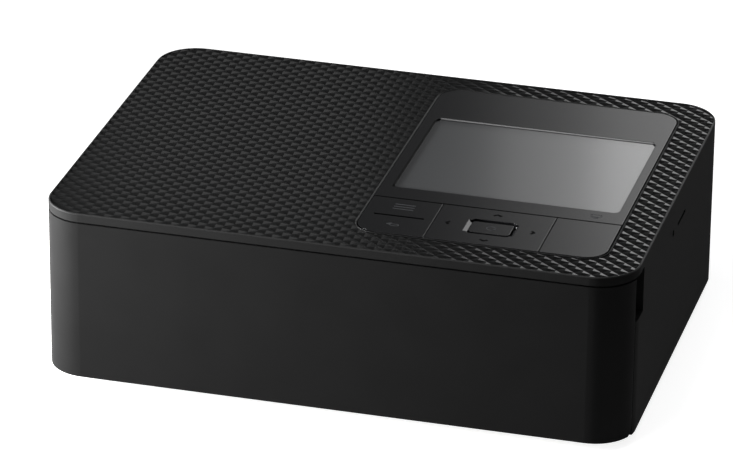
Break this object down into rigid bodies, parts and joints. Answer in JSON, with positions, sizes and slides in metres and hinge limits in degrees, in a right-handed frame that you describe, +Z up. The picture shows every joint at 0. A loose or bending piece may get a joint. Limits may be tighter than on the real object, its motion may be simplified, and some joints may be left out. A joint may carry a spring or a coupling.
{
  "type": "compact photo printer",
  "caption": "Compact photo printer: flat casing with a relief lid, flush display and key panel, hinged front door, side ink door and paper slot.",
  "frame": {"origin": "under the middle of the body, on the surface the rubber feet stand on", "axes": "+X to the right seen from the front, +Y to the rear, +Z up; the front door faces -Y"},
  "size_m": [0.1822, 0.133, 0.0576],
  "materials": {
    "casing": "fine spark texture, near black",
    "door_plastic": "satin, near black",
    "panel_plastic": "smooth dark grey",
    "display": "clear window over a grey display",
    "inner_plastic": "moulded black",
    "gear_plastic": "natural acetal",
    "steel_sheet": "zinc-plated sheet",
    "steel": "ground shaft steel",
    "aluminium": "extruded",
    "brass": "turned",
    "rubber": "matt",
    "mat_rubber": "silicone",
    "board": "solder resist",
    "heater": "glazed ceramic",
    "film": "dye film",
    "socket_metal": "tin-plated shell"
  },
  "bodies": {
    "body": {"base_tray": "inner_plastic", "top_cover": "casing", "door_hinge_pins": "steel", "front_frame": "inner_plastic", "ink_door_pin": "steel", "rubber_feet": "rubber", "casing_screws": "steel", "panel_plate": "panel_plastic", "display_window": "display", "display_module": "inner_plastic", "key_mat": "mat_rubber", "panel_board": "board", "card_socket": "socket_metal", "card_lamp": "inner_plastic", "main_board": "board", "usb_socket": "socket_metal", "dc_inlet": "inner_plastic", "power_switch": "inner_plastic", "left_side_plate": "steel_sheet", "right_side_plate": "steel_sheet", "tie_bars": "steel_sheet", "front_paper_guide": "inner_plastic", "rear_paper_guide": "inner_plastic", "roller_bushes": "gear_plastic", "idler_posts": "steel", "feed_motor": "steel_sheet", "motor_bracket": "steel_sheet", "lift_motor": "steel_sheet"},
    "front_door": {"front_door": "door_plastic"},
    "ink_door": {"ink_door": "casing"},
    "menu_key": {"menu_key": "panel_plastic"},
    "nav_gimbal": {"nav_gimbal": "inner_plastic"},
    "nav_pad": {"nav_pad": "panel_plastic"},
    "ok_key": {"ok_key": "panel_plastic"},
    "print_key": {"print_key": "panel_plastic"},
    "power_button": {"power_button": "panel_plastic"},
    "feed_roller": {"feed_roller": "steel", "feed_gear": "gear_plastic"},
    "platen": {"platen_shaft": "steel", "platen_rubber": "rubber", "platen_gear": "gear_plastic"},
    "pinch_roller": {"pinch_roller": "steel"},
    "pickup": {"pickup_roller": "rubber", "pickup_gear": "gear_plastic"},
    "idler_gear": {"idler_gear": "gear_plastic"},
    "front_idler_a": {"front_idler_a": "gear_plastic"},
    "front_idler_b": {"front_idler_b": "gear_plastic"},
    "takeup_drive": {"takeup_gear": "gear_plastic"},
    "motor_rotor": {"motor_pinion": "brass"},
    "head": {"thermal_head": "aluminium", "heater_strip": "heater", "head_arm": "steel_sheet", "head_pivot_shaft": "steel"},
    "lift_gear": {"lift_gear": "gear_plastic"},
    "ink_cassette": {"cassette_case": "inner_plastic", "ink_ribbon": "film"},
    "supply_spool": {"supply_spool": "film"},
    "takeup_spool": {"takeup_spool": "film"}
  },
  "joints": [
    {"name": "front_door_hinge", "type": "hinge", "parent": "body", "child": "front_door", "pos_m": [0, -0.0615, 0.0065], "axis": [1, 0, 0], "range_deg": [0, 90]},
    {"name": "ink_door_hinge", "type": "hinge", "parent": "body", "child": "ink_door", "pos_m": [-0.0893, 0.00523, 0.02005], "axis": [0, -1, 0], "range_deg": [0, 90]},
    {"name": "ink_cassette_slide", "type": "slide", "parent": "body", "child": "ink_cassette", "axis": [-1, 0, 0], "range_m": [0, 0.006]},
    {"name": "menu_key_rock", "type": "hinge", "parent": "body", "child": "menu_key", "pos_m": [0.014, -0.04115, 0.0548], "axis": [1, 0, 0], "range_deg": [-1.5, 1.5], "stiffness_Nm_per_rad": 0.4},
    {"name": "nav_fore_aft", "type": "hinge", "parent": "body", "child": "nav_gimbal", "pos_m": [0.0427, -0.0414, 0.0538], "axis": [1, 0, 0], "range_deg": [-1.5, 1.5], "stiffness_Nm_per_rad": 0.4},
    {"name": "nav_side", "type": "hinge", "parent": "nav_gimbal", "child": "nav_pad", "pos_m": [0.0427, -0.0414, 0.0548], "axis": [0, 1, 0], "range_deg": [-1.5, 1.5], "stiffness_Nm_per_rad": 0.4},
    {"name": "ok_key_press", "type": "slide", "parent": "body", "child": "ok_key", "axis": [0, 0, -1], "range_m": [0, 0.0005], "stiffness_N_per_m": 400},
    {"name": "print_key_press", "type": "slide", "parent": "body", "child": "print_key", "axis": [0, 0, -1], "range_m": [0, 0.0005], "stiffness_N_per_m": 400},
    {"name": "power_button_press", "type": "slide", "parent": "body", "child": "power_button", "axis": [0, -1, 0], "range_m": [0, 0.001], "stiffness_N_per_m": 400},
    {"name": "feed_roller_spin", "type": "hinge", "parent": "body", "child": "feed_roller", "pos_m": [0, 0.018, 0.0152], "axis": [1, 0, 0], "continuous": true},
    {"name": "platen_spin", "type": "hinge", "parent": "body", "child": "platen", "pos_m": [0, 0, 0.0142], "axis": [1, 0, 0], "continuous": true},
    {"name": "pinch_spin", "type": "hinge", "parent": "body", "child": "pinch_roller", "pos_m": [0, 0.018, 0.0226], "axis": [1, 0, 0], "continuous": true},
    {"name": "pickup_spin", "type": "hinge", "parent": "body", "child": "pickup", "pos_m": [0, -0.042, 0.03], "axis": [1, 0, 0], "continuous": true},
    {"name": "idler_spin", "type": "hinge", "parent": "body", "child": "idler_gear", "pos_m": [0, 0.00961, 0.02882], "axis": [1, 0, 0], "continuous": true},
    {"name": "front_idler_a_spin", "type": "hinge", "parent": "body", "child": "front_idler_a", "pos_m": [0, -0.01516, 0.01742], "axis": [1, 0, 0], "continuous": true},
    {"name": "front_idler_b_spin", "type": "hinge", "parent": "body", "child": "front_idler_b", "pos_m": [0, -0.02602, 0.02917], "axis": [1, 0, 0], "continuous": true},
    {"name": "takeup_drive_spin", "type": "hinge", "parent": "body", "child": "takeup_drive", "pos_m": [0, 0.02673, 0.03439], "axis": [1, 0, 0], "continuous": true},
    {"name": "motor_spin", "type": "hinge", "parent": "body", "child": "motor_rotor", "pos_m": [0, 0.009, 0.03126], "axis": [1, 0, 0], "continuous": true},
    {"name": "takeup_spool_spin", "type": "hinge", "parent": "ink_cassette", "child": "takeup_spool", "pos_m": [0, 0.02673, 0.03439], "axis": [1, 0, 0], "continuous": true},
    {"name": "supply_spool_spin", "type": "hinge", "parent": "ink_cassette", "child": "supply_spool", "pos_m": [0, -0.01627, 0.03439], "axis": [1, 0, 0], "continuous": true},
    {"name": "head_lift", "type": "hinge", "parent": "body", "child": "head", "pos_m": [0, 0.047, 0.041], "axis": [1, 0, 0], "range_deg": [-2.5, 0]},
    {"name": "lift_gear_spin", "type": "hinge", "parent": "body", "child": "lift_gear", "pos_m": [0, 0.047, 0.02], "axis": [1, 0, 0], "range_deg": [-8, 8]}
  ],
  "couplings": [
    {"joint": "platen_spin", "follows": "feed_roller_spin", "ratio": 0.8},
    {"joint": "pinch_spin", "follows": "feed_roller_spin", "ratio": -1.3333},
    {"joint": "pickup_spin", "follows": "feed_roller_spin", "ratio": -0.75},
    {"joint": "idler_spin", "follows": "feed_roller_spin", "ratio": -0.6},
    {"joint": "front_idler_a_spin", "follows": "feed_roller_spin", "ratio": -0.75},
    {"joint": "front_idler_b_spin", "follows": "feed_roller_spin", "ratio": 0.75},
    {"joint": "takeup_drive_spin", "follows": "feed_roller_spin", "ratio": 0.75},
    {"joint": "motor_spin", "follows": "feed_roller_spin", "ratio": -1.5},
    {"joint": "takeup_spool_spin", "follows": "feed_roller_spin", "ratio": 0.75},
    {"joint": "supply_spool_spin", "follows": "feed_roller_spin", "ratio": -0.48837},
    {"joint": "lift_gear_spin", "follows": "head_lift", "ratio": -2.5}
  ]
}
